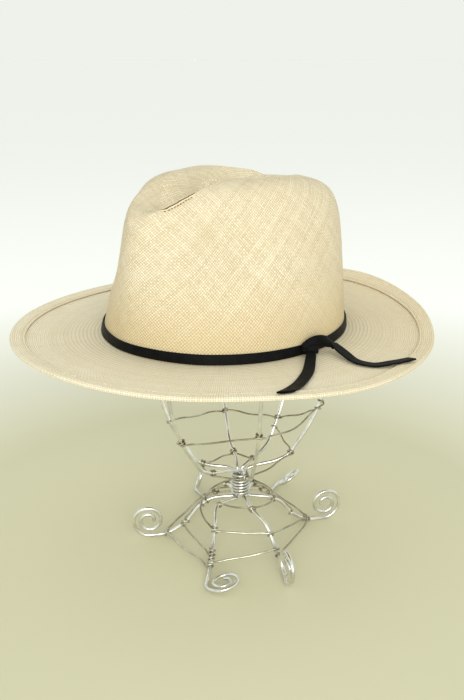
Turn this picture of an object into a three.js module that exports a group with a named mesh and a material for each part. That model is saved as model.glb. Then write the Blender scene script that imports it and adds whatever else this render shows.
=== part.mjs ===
// Wide-brim woven straw hat with a knotted leather band, set on a bent-wire stand.
// Millimetres, +Z up, floor at z = 0. The hat faces -Y and the wearer's left is +X.
// The origin is on the floor under the middle of the head oval.

import * as THREE from 'three';

// Straw hat
const STRAW_THICKNESS = 1.6;
const HEAD_HALF_LENGTH = 96.5; // outside of the crown's foot, to the front and to the back
const HEAD_HALF_WIDTH = 87.5; // the same, to each side
const BRIM_HEIGHT = 184; // top of the brim at the crown's foot, above the floor
const BRIM_WIDTH = 67;
const BRIM_CURL = 4.5; // how late in the brim's width its edge turns up
const FOOT_DROP = 3.1; // dip of the crown's foot on one side
const FOOT_LOW_AZIMUTH = 95;
const HEM_WIDTH = 10.5; // brim edge folded back over itself
const HEM_THICKNESS = 1.4;
const CROWN_SQUARENESS = 9; // power of the crown's section: 2 is round, higher is boxier
const CREASE_START = 0.6; // share of the crown's height where the top crease begins to count
const CREASE_SOFT = 2; // power of the crease's cross-section: rolled ridges at the back
const CREASE_CRISP = 1.3; // and folded ones at the front
const PINCH_DEPTH = 6;
const PINCH_AZIMUTH = 38;
const PINCH_HEIGHT = 68;
const PINCH_REACH = 48; // half-width of the dent along the wall
const PINCH_RISE = 42; // half-height of the dent
const HAT_SEGMENTS = 54;

// Lean of the crown's wall, as a share of its radius, by azimuth from the front
const WALL_LEAN = [
  { azimuth: 0, lean: 0.1 },
  { azimuth: 14, lean: 0.18 },
  { azimuth: 32, lean: 0.27 },
  { azimuth: 52, lean: 0.295 },
  { azimuth: 90, lean: 0.19 },
  { azimuth: 130, lean: 0.095 },
  { azimuth: 180, lean: 0.08 },
];

// Teardrop crease in the top, by place along the hat (towards the front)
const CREASE = [
  { along: -95, halfGap: 6, ridge: 106, depth: 0, rightDrop: 4 },
  { along: -66, halfGap: 14, ridge: 107.5, depth: 3.5, rightDrop: 4.5 },
  { along: -48, halfGap: 24, ridge: 109.3, depth: 14, rightDrop: 0 },
  { along: -22, halfGap: 33, ridge: 112.5, depth: 26, rightDrop: -0.3 },
  { along: -7, halfGap: 35, ridge: 114.3, depth: 27.6, rightDrop: 3.2 },
  { along: 8, halfGap: 36, ridge: 115, depth: 28.5, rightDrop: 4 },
  { along: 30, halfGap: 33, ridge: 114.3, depth: 27, rightDrop: 3.3 },
  { along: 44, halfGap: 30, ridge: 112.5, depth: 23, rightDrop: 3.5 },
  { along: 56, halfGap: 26, ridge: 109.5, depth: 18, rightDrop: 2 },
  { along: 70, halfGap: 19, ridge: 105.8, depth: 11, rightDrop: -0.7 },
  { along: 84, halfGap: 8, ridge: 105, depth: 3, rightDrop: -1.5 },
  { along: 95, halfGap: 4, ridge: 105, depth: 0, rightDrop: 0 },
];

// Brim by azimuth from the front: straight fall to the edge and late rise of the edge, wearer's left and right
const BRIM_EDGE = [
  { azimuth: 0, leftFall: -2, rightFall: -2, leftRise: 5, rightRise: 5 },
  { azimuth: 45, leftFall: -2, rightFall: -4, leftRise: 3, rightRise: 5 },
  { azimuth: 90, leftFall: -9, rightFall: -7, leftRise: 3.5, rightRise: 6 },
  { azimuth: 120, leftFall: -9, rightFall: -4, leftRise: 4, rightRise: 6 },
  { azimuth: 150, leftFall: -5, rightFall: -3, leftRise: 9, rightRise: 9 },
  { azimuth: 180, leftFall: -3, rightFall: -3, leftRise: 14.5, rightRise: 14.5 },
];

// Leather band, knot and tails
const GAP = 0.3; // between neighbouring pieces
const STRAP_WIDTH = 7.4;
const STRAP_THICKNESS = 1.4;
const BAND_LIFT = 0.8; // lower edge above the brim
const BAND_WIDTH = 6.9; // drawn tight, narrower than the free ends
const BAND_SEGMENTS = 54;
const KNOT_AZIMUTH = 88.5;
const KNOT_SIZE = { along: 22, up: 11.5, out: 7 };

// Tails lie on the brim: azimuth, share of the brim's width, height over the straw and share of the strap's width
const FRONT_TAIL = [
  { azimuth: 83.5, share: 0.125, lift: 3.5, width: 0.85 },
  { azimuth: 78.8, share: 0.235, lift: 2.2, width: 1 },
  { azimuth: 72.8, share: 0.43, lift: 0.9, width: 1.05 },
  { azimuth: 67.7, share: 0.6, lift: 0.6, width: 1.05 },
  { azimuth: 62.7, share: 0.8, lift: 1.7, width: 0.9 },
  { azimuth: 57.8, share: 0.99, lift: 2.2, width: 0.15 },
];
const BACK_TAIL = [
  { azimuth: 95.8, share: 0.15, lift: 4.6, width: 0.8 },
  { azimuth: 93.8, share: 0.31, lift: 2.9, width: 0.9 },
  { azimuth: 93, share: 0.48, lift: 1.2, width: 0.9 },
  { azimuth: 95, share: 0.65, lift: 0.6, width: 0.9 },
  { azimuth: 99.3, share: 0.79, lift: 1.8, width: 0.8 },
  { azimuth: 104.3, share: 0.935, lift: 2.7, width: 0.35 },
];
const TAIL_STATIONS = 14;

// Wire stand
const STAND_AXIS = new THREE.Vector2(8.5, 8.5); // the hat sits a little off the stand's middle
const RIB_RADIUS = 1.5;
const CROSS_RADIUS = 0.7;
const COIL_RADIUS = 0.9;
const WIRE_SIDES = 6;
const BUNDLE_RADIUS = 4.2; // the six ribs run together through the waist
const WAIST_BOTTOM = 33.5;
const WAIST_TOP = 57.5;
const COIL_TURNS = 7;
const COIL_STEPS = 9; // per turn
const TIP_HEIGHT = 232; // the ribs end against the inside of the crown
const SPIRAL_RADIUS = 14;
const SPIRAL_EYE = 4; // radius where the spiral ends
const SPIRAL_TURNS = 1.75;
const SPIRAL_STEPS = 12; // per turn
const FOOT_REACH = 75.5; // the leg profile below is drawn for this reach
const KNEE_OUT = 24; // and has its knee here

// Each wire is one rib of the basket and one leg, with directions round the stand's axis from +X: of the rib, with a
// share of the rib profile's distances; of the knee and the foot, with the leg's sideways bend between them and the
// foot's reach; and of the spiral, with how far it lies over. The slot is its place in the waist's bundle
const WIRES = [
  { name: 'back_left', rib: 53, girth: 1, slot: 55, knee: 42, leg: 59.6, bend: 0, reach: 75, face: 59.6, lie: 0 },
  { name: 'back', rib: 97, girth: 1, slot: 115, knee: 108, leg: 111, bend: 0, reach: 84, face: 111, lie: -50 },
  { name: 'back_right', rib: 149, girth: 1, slot: 175, knee: 164, leg: 166, bend: 0, reach: 78, face: 134, lie: -16 },
  { name: 'front_right', rib: 232.6, girth: 0.93, slot: 235, knee: 232.6, leg: 232.6, bend: 0, reach: 76, face: 232.6, lie: 0 },
  { name: 'front', rib: 265, girth: 1, slot: 295, knee: 267, leg: 296, bend: 0, reach: 80, face: 296, lie: 76 },
  { name: 'front_left', rib: 326, girth: 1, slot: 355, knee: 338, leg: 339, bend: 7.5, reach: 83, face: 335, lie: 0 },
];

// Where cross wires are tied to each rib, the upper ones by height and the lower ones by distance from the axis, each
// with the place where one comes and the next leaves; and how far the upper one that leaves hangs
const RIB_TIES = [
  { upperIn: 114, upperOut: 108, upperSag: 1, lowerIn: 42, lowerOut: 42 },
  { upperIn: 86, upperOut: 86, upperSag: 0, lowerIn: 46, lowerOut: 18 },
  { upperIn: 88, upperOut: 88, upperSag: -1, lowerIn: 25, lowerOut: 25 },
  { upperIn: 103, upperOut: 86, upperSag: 0, lowerIn: 32, lowerOut: 32 },
  { upperIn: 100, upperOut: 100, upperSag: 0, lowerIn: 28, lowerOut: 28 },
  { upperIn: 117, upperOut: 117, upperSag: 6, lowerIn: 24, lowerOut: 24 },
];

// The same on the legs, as far out on the leg profile
const LEG_TIES = [
  { upperIn: 28, upperOut: 28, middleIn: 56, middleOut: 43, footIn: 60, footOut: 57 },
  { upperIn: 23, upperOut: 23, middleIn: 41, middleOut: 41, footIn: 57, footOut: 57 },
  { upperIn: 23, upperOut: 23, middleIn: 41, middleOut: 41, footIn: 57, footOut: 57 },
  { upperIn: 29, upperOut: 31, middleIn: 45, middleOut: 46.5, footIn: 60, footOut: 61.5 },
  { upperIn: 37, upperOut: 21, middleIn: 51, middleOut: 37.5, footIn: 60, footOut: 57 },
  { upperIn: 22, upperOut: 22, middleIn: 40, middleOut: 40, footIn: 49, footOut: 51 },
];

// Basket rib and leg, as distance from the stand's axis and height
const RIB_PROFILE = [
  { out: 13, up: 60.5 },
  { out: 29, up: 63.5 },
  { out: 40, up: 69 },
  { out: 47, up: 79 },
  { out: 57, up: 95 },
  { out: 66, up: 117 },
  { out: 71, up: 145 },
  { out: 74, up: 176 },
];
const LEG_PROFILE = [
  { out: 13, up: 33.5 },
  { out: 24, up: 32.5 },
  { out: 34, up: 26 },
  { out: 45, up: 12.5 },
  { out: 60, up: 3.2 },
];
const RIB_STATIONS = 15;
const LEG_STATIONS = 9;

// Outward bow of the cross wires
const BASKET_UPPER_BOW = 1.5;
const BASKET_LOWER_BOW = 1;
const LEG_RINGS = [
  { name: 'base_upper', tie: 'upper', bow: 4 },
  { name: 'base_middle', tie: 'middle', bow: 1.5 },
  { name: 'base_lower', tie: 'foot', bow: 1.5 },
];
const CROSS_STATIONS = 5;

const strawMaterial = new THREE.MeshStandardMaterial({ color: 0xe6d6ae, roughness: 0.85 });
const leatherMaterial = new THREE.MeshStandardMaterial({ color: 0x1d1b1a, roughness: 0.55 });
const wireMaterial = new THREE.MeshStandardMaterial({ color: 0xc6c9cb, roughness: 0.3, metalness: 1 });

const radians = THREE.MathUtils.degToRad;
const clamp = THREE.MathUtils.clamp;
const lerp = THREE.MathUtils.lerp;
const easeIn = (x) => THREE.MathUtils.smoothstep(x, 0, 1);
const bump = (x) => (1 - Math.min(x * x, 1)) ** 2;

// Smooth curve through one column of a table against another, level at both ends
function curveThrough(rows, across, value) {
  const last = rows.length - 1;
  const pitch = (i) => (rows[i + 1][value] - rows[i][value]) / (rows[i + 1][across] - rows[i][across]);
  const slopes = rows.map((_, i) => {
    if (i === 0 || i === last) return 0;
    const [before, after] = [pitch(i - 1), pitch(i)];
    return before * after > 0 ? (2 * before * after) / (before + after) : 0;
  });
  return (x) => {
    const at = clamp(x, rows[0][across], rows[last][across]);
    let i = 0;
    while (i < last - 1 && at > rows[i + 1][across]) i += 1;
    const span = rows[i + 1][across] - rows[i][across];
    const t = (at - rows[i][across]) / span;
    const [a, b] = [rows[i][value], rows[i + 1][value]];
    return a + (b - a) * t * t * (3 - 2 * t)
      + span * t * (1 - t) * (slopes[i] * (1 - t) - slopes[i + 1] * t);
  };
}

// Closed body through rings of equal size, each counter-clockwise about the way of travel
function skin(rings, { loop = false, start, end } = {}) {
  const size = rings[0].length;
  const points = rings.flat();
  const faces = [];
  const quads = loop ? rings.length : rings.length - 1;
  for (let k = 0; k < quads; k += 1) {
    const here = k * size;
    const next = ((k + 1) % rings.length) * size;
    for (let i = 0; i < size; i += 1) {
      const j = (i + 1) % size;
      faces.push(here + i, here + j, next + j, here + i, next + j, next + i);
    }
  }
  if (!loop) {
    const middle = (ring) => ring.reduce((sum, p) => sum.add(p), new THREE.Vector3()).divideScalar(size);
    const first = points.push(start ?? middle(rings[0])) - 1;
    const final = points.push(end ?? middle(rings.at(-1))) - 1;
    const lastRing = (rings.length - 1) * size;
    for (let i = 0; i < size; i += 1) {
      const j = (i + 1) % size;
      faces.push(first, j, i, final, lastRing + i, lastRing + j);
    }
  }
  const geometry = new THREE.BufferGeometry().setFromPoints(points);
  geometry.setIndex(faces);
  geometry.computeVertexNormals();
  return geometry;
}

function piece(name, geometry, material) {
  const mesh = new THREE.Mesh(geometry, material);
  mesh.name = name;
  return mesh;
}

// Hat surface. Heights here are above the brim's height, azimuths run from the front to the wearer's left.
const wallLean = curveThrough(WALL_LEAN, 'azimuth', 'lean');
const creaseHalfGap = curveThrough(CREASE, 'along', 'halfGap');
const creaseRidge = curveThrough(CREASE, 'along', 'ridge');
const creaseDepth = curveThrough(CREASE, 'along', 'depth');
const ridgeDrop = curveThrough(CREASE, 'along', 'rightDrop');
const brimFall = {
  left: curveThrough(BRIM_EDGE, 'azimuth', 'leftFall'),
  right: curveThrough(BRIM_EDGE, 'azimuth', 'rightFall'),
};
const brimRise = {
  left: curveThrough(BRIM_EDGE, 'azimuth', 'leftRise'),
  right: curveThrough(BRIM_EDGE, 'azimuth', 'rightRise'),
};

// Azimuth as 0 at the front to 180 at the back, with its side
function aroundHead(azimuth) {
  const turned = THREE.MathUtils.euclideanModulo(azimuth + 180, 360) - 180;
  return { fromFront: Math.abs(turned), side: turned < 0 ? 'right' : 'left' };
}

function headRadius(azimuth) {
  const angle = radians(azimuth);
  return 1 / Math.hypot(Math.cos(angle) / HEAD_HALF_LENGTH, Math.sin(angle) / HEAD_HALF_WIDTH);
}

// Height of the line where the crown's wall meets the brim
function footHeight(azimuth) {
  return (-FOOT_DROP * (1 + Math.cos(radians(azimuth - FOOT_LOW_AZIMUTH)))) / 2;
}

function polarPoint(azimuth, radius, height) {
  const angle = radians(azimuth);
  return new THREE.Vector3(radius * Math.sin(angle), -radius * Math.cos(angle), height);
}

// Section of the uncreased crown: share 0 at its foot, 1 at the shoulder, 2 at the middle of the top
function crownSection(share) {
  const shoulder = 2 ** (-1 / CROWN_SQUARENESS);
  const other = (side) => (1 - side ** CROWN_SQUARENESS) ** (1 / CROWN_SQUARENESS);
  if (share <= 1) return { height: shoulder * share, radius: other(shoulder * share) };
  return { height: other(shoulder * (2 - share)), radius: shoulder * (2 - share) };
}

function crownPoint(azimuth, share) {
  const section = crownSection(share);
  const { fromFront } = aroundHead(azimuth);
  const radius = headRadius(azimuth) * section.radius * (1 - wallLean(fromFront) * section.height);
  const along = radius * Math.cos(radians(azimuth));
  const across = radius * Math.sin(radians(azimuth));
  const halfGap = creaseHalfGap(along);
  const toRight = easeIn(-across / halfGap);
  const uncreased = (creaseRidge(along) - ridgeDrop(along) * toRight) * section.height;

  const power = lerp(CREASE_SOFT, CREASE_CRISP, easeIn(along / HEAD_HALF_LENGTH));
  const hollow = (1 - Math.min((across / halfGap) ** 2, 1)) ** power;
  const onTop = easeIn((section.height - CREASE_START) / (0.95 - CREASE_START));
  const height = uncreased - creaseDepth(along) * hollow * onTop + footHeight(azimuth) * (1 - section.height);

  const dentAcross = (radians(fromFront - PINCH_AZIMUTH) * headRadius(azimuth)) / PINCH_REACH;
  const dentUp = (uncreased - PINCH_HEIGHT) / PINCH_RISE;
  const dent = PINCH_DEPTH * bump(Math.hypot(dentAcross, dentUp));
  return polarPoint(azimuth, Math.max(radius - dent, 0), height);
}

// Top of the brim: share 0 at the crown, 1 at the edge
function brimPoint(azimuth, share) {
  const { fromFront, side } = aroundHead(azimuth);
  const curl = brimRise[side](fromFront) * Math.max(share, 0) ** BRIM_CURL;
  const height = footHeight(azimuth) * (1 - share) ** 2 + brimFall[side](fromFront) * share + curl;
  return polarPoint(azimuth, headRadius(azimuth) + BRIM_WIDTH * share, height);
}

// Upward or outward normal of one of these surfaces
function normalAt(surface, azimuth, share) {
  const step = 0.01;
  const round = surface(azimuth + 1, share).sub(surface(azimuth - 1, share));
  const onward = surface(azimuth, share + step).sub(surface(azimuth, share - step));
  const normal = round.cross(onward).normalize();
  return surface === brimPoint ? normal.negate() : normal;
}

// Outside of the crown's wall at a height above the brim
function wallPoint(azimuth, height) {
  let [low, high] = [0, 1];
  for (let i = 0; i < 30; i += 1) {
    const middle = (low + high) / 2;
    if (crownPoint(azimuth, middle).z < height) low = middle;
    else high = middle;
  }
  return crownPoint(azimuth, low);
}

// Woven body: crown, brim and folded hem in one sheet, from the middle of the top, out and back underneath
function strawBody() {
  const outerShares = [1.9, 1.8, 1.7, 1.6, 1.5, 1.4, 1.31, 1.22, 1.14, 1.07, 1, 0.95, 0.87, 0.75, 0.6, 0.42, 0.22];
  const innerShares = [0.22, 0.42, 0.6, 0.75, 0.87, 0.95, 1, 1.07, 1.14, 1.22, 1.31, 1.4, 1.5, 1.6, 1.72, 1.86];
  const brimShares = [0.22, 0.44, 0.66];
  const hemShare = 1 - HEM_WIDTH / BRIM_WIDTH;
  const hemMiddle = (1 + hemShare) / 2;
  const lip = 1 - (STRAW_THICKNESS + HEM_THICKNESS) / 2 / BRIM_WIDTH;

  const ring = (surface, share, offset) => Array.from({ length: HAT_SEGMENTS }, (_, i) => {
    const azimuth = (-360 * i) / HAT_SEGMENTS;
    return surface(azimuth, share).addScaledVector(normalAt(surface, azimuth, share), offset);
  });
  const insideFoot = Array.from({ length: HAT_SEGMENTS }, (_, i) => {
    const azimuth = (-360 * i) / HAT_SEGMENTS;
    return polarPoint(azimuth, headRadius(azimuth) - STRAW_THICKNESS, footHeight(azimuth) - STRAW_THICKNESS);
  });

  const rings = [
    ...outerShares.map((share) => ring(crownPoint, share, 0)),
    ring(brimPoint, 0, 0),
    ...brimShares.map((share) => ring(brimPoint, share, 0)),
    ring(brimPoint, hemShare, 0),
    ring(brimPoint, hemShare + 0.004, HEM_THICKNESS),
    ring(brimPoint, hemMiddle, HEM_THICKNESS),
    ring(brimPoint, lip, HEM_THICKNESS),
    ring(brimPoint, 1, (HEM_THICKNESS - STRAW_THICKNESS) / 2),
    ring(brimPoint, lip, -STRAW_THICKNESS),
    ring(brimPoint, hemMiddle, -STRAW_THICKNESS),
    ...[hemShare, ...brimShares.toReversed()].map((share) => ring(brimPoint, share, -STRAW_THICKNESS)),
    insideFoot,
    ...innerShares.map((share) => ring(crownPoint, share, -STRAW_THICKNESS)),
  ];
  const top = crownPoint(0, 2);
  const underside = top.clone().setZ(top.z - STRAW_THICKNESS);
  return piece('straw_body', skin(rings, { start: top, end: underside }), strawMaterial);
}

// Flat strap, once round the foot of the crown
function band() {
  const rings = Array.from({ length: BAND_SEGMENTS }, (_, i) => {
    const azimuth = (360 * i) / BAND_SEGMENTS;
    const edge = (height, out) => {
      const wall = wallPoint(azimuth, height);
      return polarPoint(azimuth, Math.hypot(wall.x, wall.y) + out, height);
    };
    const bottom = footHeight(azimuth) + BAND_LIFT;
    const top = bottom + BAND_WIDTH;
    const outside = GAP + STRAP_THICKNESS;
    return [edge(top, outside), edge(bottom, outside), edge(bottom, GAP), edge(top, GAP)];
  });
  return piece('band', skin(rings, { loop: true }), leatherMaterial);
}

// Knot: a rounded lump crossed by the two turns of the strap, set on the outside of the band
function knot() {
  const turns = 12;
  const stations = 9;
  const seat = wallPoint(KNOT_AZIMUTH, BAND_LIFT + STRAP_WIDTH / 2);
  const outward = polarPoint(KNOT_AZIMUTH, 1, 0);
  const along = new THREE.Vector3(-outward.y, outward.x, 0);
  const up = new THREE.Vector3(0, 0, 1);
  const standoff = 2 * GAP + STRAP_THICKNESS + KNOT_SIZE.out / 2;
  const centre = seat.clone().addScaledVector(outward, standoff).setZ(BAND_LIFT + KNOT_SIZE.up / 2);
  const rings = Array.from({ length: stations }, (_, k) => {
    const place = Math.cos((Math.PI * (stations - k)) / (stations + 1));
    const girth = (1 - Math.abs(place) ** 3) ** (1 / 3) * (1 - 0.16 * bump(place / 0.35));
    return Array.from({ length: turns }, (_, i) => {
      const angle = (2 * Math.PI * i) / turns;
      return centre.clone()
        .addScaledVector(along, (place * KNOT_SIZE.along) / 2)
        .addScaledVector(up, (girth * Math.cos(angle) * KNOT_SIZE.up) / 2)
        .addScaledVector(outward, (girth * Math.sin(angle) * KNOT_SIZE.out) / 2);
    });
  });
  const tip = (way) => centre.clone().addScaledVector(along, (way * KNOT_SIZE.along) / 2);
  return piece('knot', skin(rings, { start: tip(-1), end: tip(1) }), leatherMaterial);
}

// Free end of the strap, lying on the brim
function tail(name, rows) {
  const last = rows.length - 1;
  const order = rows.map((row, i) => ({ ...row, i }));
  const column = (value) => curveThrough(order, 'i', value);
  const [azimuth, share, lift, width] = ['azimuth', 'share', 'lift', 'width'].map(column);
  const middle = (t) => {
    const [at, out] = [azimuth(t), share(t)];
    return brimPoint(at, out).addScaledVector(normalAt(brimPoint, at, out), lift(t) + STRAP_THICKNESS / 2);
  };
  const step = 0.01;
  const rings = Array.from({ length: TAIL_STATIONS }, (_, k) => {
    const t = (last * k) / (TAIL_STATIONS - 1);
    const way = middle(Math.min(t + step, last)).sub(middle(Math.max(t - step, 0))).normalize();
    const normal = normalAt(brimPoint, azimuth(t), share(t));
    const side = way.cross(normal).normalize();
    const corner = (up, across) => middle(t)
      .addScaledVector(normal, (up * STRAP_THICKNESS) / 2)
      .addScaledVector(side, (across * width(t) * STRAP_WIDTH) / 2);
    return [corner(1, 1), corner(-1, 1), corner(-1, -1), corner(1, -1)];
  });
  return piece(name, skin(rings), leatherMaterial);
}

// Round wire along a row of stations, with frames carried from one to the next
function wire(stations, radius) {
  const way = (k) => stations[Math.min(k + 1, stations.length - 1)].clone()
    .sub(stations[Math.max(k - 1, 0)]).normalize();
  let normal = new THREE.Vector3(0, 0, 1);
  if (Math.abs(way(0).z) > 0.9) normal.set(1, 0, 0);
  const rings = stations.map((centre, k) => {
    const along = way(k);
    normal = normal.clone().addScaledVector(along, -normal.dot(along)).normalize();
    const side = along.clone().cross(normal);
    return Array.from({ length: WIRE_SIDES }, (_, i) => {
      const angle = (2 * Math.PI * i) / WIRE_SIDES;
      return centre.clone()
        .addScaledVector(normal, radius * Math.cos(angle))
        .addScaledVector(side, radius * Math.sin(angle));
    });
  });
  return skin(rings);
}

function standPoint(direction, out, up) {
  const angle = radians(direction);
  return new THREE.Vector3(STAND_AXIS.x + out * Math.cos(angle), STAND_AXIS.y + out * Math.sin(angle), up);
}

const smoothPath = (points, stations) => new THREE.CatmullRomCurve3(points).getSpacedPoints(stations - 1);

// How far a rib can lean out before it meets the inside of the crown
function reachToCrown(direction, height) {
  let out = 40;
  const clearance = STRAW_THICKNESS + RIB_RADIUS + 2 * GAP;
  for (;;) {
    const { x, y } = standPoint(direction, out, height);
    const azimuth = THREE.MathUtils.radToDeg(Math.atan2(x, -y));
    const wall = wallPoint(azimuth, height - BRIM_HEIGHT);
    if (Math.hypot(x, y) + clearance > Math.hypot(wall.x, wall.y)) return out;
    out += 0.05;
  }
}

// Stations of one wire: from inside the crown down the basket, through the waist and out to a spiral foot
function wirePath({ rib, girth, slot, knee, leg, bend, reach, face, lie }) {
  const ribPath = [
    standPoint(rib, reachToCrown(rib, TIP_HEIGHT), TIP_HEIGHT),
    ...RIB_PROFILE.toReversed().map(({ out, up }) => standPoint(rib, out * girth, up)),
    standPoint(slot, BUNDLE_RADIUS, WAIST_TOP),
  ];
  const legScale = reach / FOOT_REACH;
  const foot = standPoint(leg, reach, RIB_RADIUS);
  const sideways = foot.clone().sub(standPoint(knee, KNEE_OUT * legScale, RIB_RADIUS)).normalize();
  sideways.set(-sideways.y, sideways.x, 0);
  const legPoint = ({ out, up }) => {
    const point = standPoint(knee, Math.min(out, KNEE_OUT) * legScale, 0);
    const t = Math.max(out - KNEE_OUT, 0) / (FOOT_REACH - KNEE_OUT);
    return point.lerp(foot, t).addScaledVector(sideways, bend * 4 * t * (1 - t)).setZ(up);
  };
  const legPath = [standPoint(slot, BUNDLE_RADIUS, WAIST_BOTTOM), ...LEG_PROFILE.map(legPoint), foot];
  const steps = Math.round(SPIRAL_TURNS * SPIRAL_STEPS);
  const outward = standPoint(face, 1, 0).sub(standPoint(face, 0, 0));
  const upward = new THREE.Vector3(0, 0, 1).applyAxisAngle(outward, -radians(lie));
  const spiral = Array.from({ length: steps }, (_, k) => {
    const angle = (2 * Math.PI * (k + 1)) / SPIRAL_STEPS;
    const radius = lerp(SPIRAL_RADIUS, SPIRAL_EYE, (k + 1) / steps);
    return foot.clone()
      .addScaledVector(outward, radius * Math.sin(angle))
      .addScaledVector(upward, SPIRAL_RADIUS - radius * Math.cos(angle));
  });
  return { rib: smoothPath(ribPath, RIB_STATIONS), leg: smoothPath(legPath, LEG_STATIONS), spiral, legScale };
}

function standWire(name, { rib, leg, spiral }) {
  const geometry = wire([...rib, ...leg, ...spiral], RIB_RADIUS);
  geometry.computeBoundingBox();
  geometry.translate(0, 0, -geometry.boundingBox.min.z);
  return piece(`stand_wire_${name}`, geometry, wireMaterial);
}

// Binding coil round the waist
function waistCoil() {
  const out = BUNDLE_RADIUS + RIB_RADIUS + COIL_RADIUS + GAP;
  const steps = COIL_TURNS * COIL_STEPS;
  const margin = RIB_RADIUS + COIL_RADIUS + GAP;
  const stations = Array.from({ length: steps + 1 }, (_, k) => standPoint(
    (360 * k) / COIL_STEPS,
    out,
    lerp(WAIST_BOTTOM + margin, WAIST_TOP - margin, k / steps),
  ));
  return piece('waist_coil', wire(stations, COIL_RADIUS), wireMaterial);
}

const distanceOut = (p) => Math.hypot(p.x - STAND_AXIS.x, p.y - STAND_AXIS.y);
const heightUp = (p) => p.z;

// Where a row of stations reaches a distance from the axis or a height, and its direction there
function tieOn(stations, measure, value) {
  const k = stations.findIndex((p, i) => i > 0 && (measure(stations[i - 1]) - value) * (measure(p) - value) <= 0);
  const [a, b] = [stations[k - 1], stations[k]];
  const t = (value - measure(a)) / (measure(b) - measure(a));
  return { point: a.clone().lerp(b, t), way: b.clone().sub(a).normalize() };
}

// Cross wire from one rib or leg to the next, bowed outwards, hanging a little and stopping just short of both
function crossWire(name, from, to, bow, sag = 0) {
  const along = to.point.clone().sub(from.point).normalize();
  const pullBack = ({ way }) => {
    const slant = Math.abs(way.dot(along));
    return (RIB_RADIUS + GAP + CROSS_RADIUS * slant) / Math.sqrt(1 - slant * slant);
  };
  const a = from.point.clone().addScaledVector(along, pullBack(from));
  const b = to.point.clone().addScaledVector(along, -pullBack(to));
  const shift = a.clone().add(b).multiplyScalar(0.5);
  shift.set(shift.x - STAND_AXIS.x, shift.y - STAND_AXIS.y, 0).setLength(bow).setZ(-sag);
  const stations = Array.from({ length: CROSS_STATIONS }, (_, k) => {
    const t = k / (CROSS_STATIONS - 1);
    return a.clone().lerp(b, t).addScaledVector(shift, 4 * t * (1 - t));
  });
  return piece(name, wire(stations, CROSS_RADIUS), wireMaterial);
}

function crossWires(paths) {
  const pieces = [];
  WIRES.forEach(({ name }, i) => {
    const j = (i + 1) % WIRES.length;
    const [one, next] = [paths[i], paths[j]];
    const onLeg = ({ leg, legScale }, out) => tieOn(leg, distanceOut, out * legScale);
    for (const { name: ring, tie, bow } of LEG_RINGS) {
      const ends = [onLeg(one, LEG_TIES[i][`${tie}Out`]), onLeg(next, LEG_TIES[j][`${tie}In`])];
      pieces.push(crossWire(`${ring}_${name}`, ...ends, bow));
    }
    const [leaving, coming] = [RIB_TIES[i], RIB_TIES[j]];
    const lower = [tieOn(one.rib, distanceOut, leaving.lowerOut), tieOn(next.rib, distanceOut, coming.lowerIn)];
    const upper = [tieOn(one.rib, heightUp, leaving.upperOut), tieOn(next.rib, heightUp, coming.upperIn)];
    pieces.push(crossWire(`basket_lower_${name}`, ...lower, BASKET_LOWER_BOW));
    pieces.push(crossWire(`basket_upper_${name}`, ...upper, BASKET_UPPER_BOW, leaving.upperSag));
  });
  return pieces;
}

const hat = new THREE.Group();
hat.position.z = BRIM_HEIGHT;
hat.add(strawBody(), band(), knot(), tail('front_tail', FRONT_TAIL), tail('back_tail', BACK_TAIL));

const stand = new THREE.Group();
const paths = WIRES.map(wirePath);
stand.add(...WIRES.map(({ name }, i) => standWire(name, paths[i])), waistCoil(), ...crossWires(paths));

const hatOnStand = new THREE.Group();
hatOnStand.add(hat, stand);

export default hatOnStand;
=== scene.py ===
# Dressed look of a wide-brim straw hat with a knotted leather band, on its bent-wire stand.
# Sizes are in millimetres, as in the part's source, and go to metres where a mesh is made.

import math

import bpy
import numpy as np
from mathutils import Matrix, Vector


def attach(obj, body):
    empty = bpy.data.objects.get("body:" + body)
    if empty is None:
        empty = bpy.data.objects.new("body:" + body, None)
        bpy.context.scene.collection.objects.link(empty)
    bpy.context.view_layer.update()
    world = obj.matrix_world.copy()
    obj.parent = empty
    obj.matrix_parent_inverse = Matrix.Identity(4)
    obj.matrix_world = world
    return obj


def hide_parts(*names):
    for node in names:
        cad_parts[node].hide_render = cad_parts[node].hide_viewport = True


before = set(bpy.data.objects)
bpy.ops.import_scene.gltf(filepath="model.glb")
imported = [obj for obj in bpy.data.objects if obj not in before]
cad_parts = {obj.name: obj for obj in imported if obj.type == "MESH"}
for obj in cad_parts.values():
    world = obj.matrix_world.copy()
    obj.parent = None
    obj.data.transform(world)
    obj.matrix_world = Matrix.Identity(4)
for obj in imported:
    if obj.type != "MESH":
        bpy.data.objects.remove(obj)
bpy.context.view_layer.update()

MM = 0.001
BODY = "root"

# Straw hat
STRAW_THICKNESS = 1.6
HEAD_HALF_LENGTH = 96.5
HEAD_HALF_WIDTH = 87.5
BRIM_HEIGHT = 184
BRIM_WIDTH = 67
BRIM_CURL = 4.5
FOOT_DROP = 3.1
FOOT_LOW_AZIMUTH = 95
HEM_WIDTH = 10.5
HEM_THICKNESS = 1.4
HEM_TUCK = 2.2
CROWN_SQUARENESS = 9
CREASE_START, CREASE_FULL = 0.6, 0.95
CREASE_SOFT = 2
CREASE_CRISP = 1.1
PINCH_DEPTH = 7.4
PINCH_AZIMUTH = 38
PINCH_HEIGHT = 68
PINCH_REACH = 48
PINCH_RISE = 42

# Columns: azimuth from the front, lean of the wall
WALL_LEAN = np.array([
    (0, 0.1),
    (14, 0.18),
    (32, 0.27),
    (52, 0.295),
    (90, 0.19),
    (130, 0.095),
    (180, 0.08),
], float)

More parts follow.
